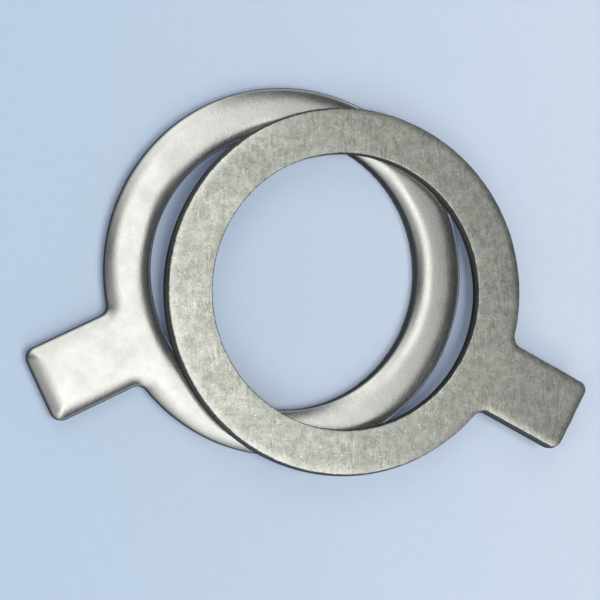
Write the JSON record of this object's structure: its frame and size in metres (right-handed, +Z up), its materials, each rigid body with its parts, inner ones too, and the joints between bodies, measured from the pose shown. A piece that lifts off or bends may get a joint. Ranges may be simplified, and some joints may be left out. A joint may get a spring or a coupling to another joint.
{
  "type": "pair of tab washers",
  "caption": "Pair of flat stamped tab washers, each a ring with one straight tab for locking a nut, lying one across the other.",
  "frame": {"origin": "middle of the pair's footprint, on the surface that the pair lies on", "axes": "+Z up, through the thickness of both washers; +X along the length of the pair, from the lower washer's tab to the upper washer's tab"},
  "size_m": [0.0518, 0.0352, 0.004],
  "materials": {
    "rolled_face_steel": "bright tumbled steel sheet, smooth side up, with softly rolled edges",
    "burr_face_steel": "matt tumbled steel sheet, burr side up, with fine specks, scuffs and crisp edges"
  },
  "bodies": {
    "root": {"lower_washer": "rolled_face_steel", "upper_washer": "burr_face_steel"}
  },
  "joints": []
}
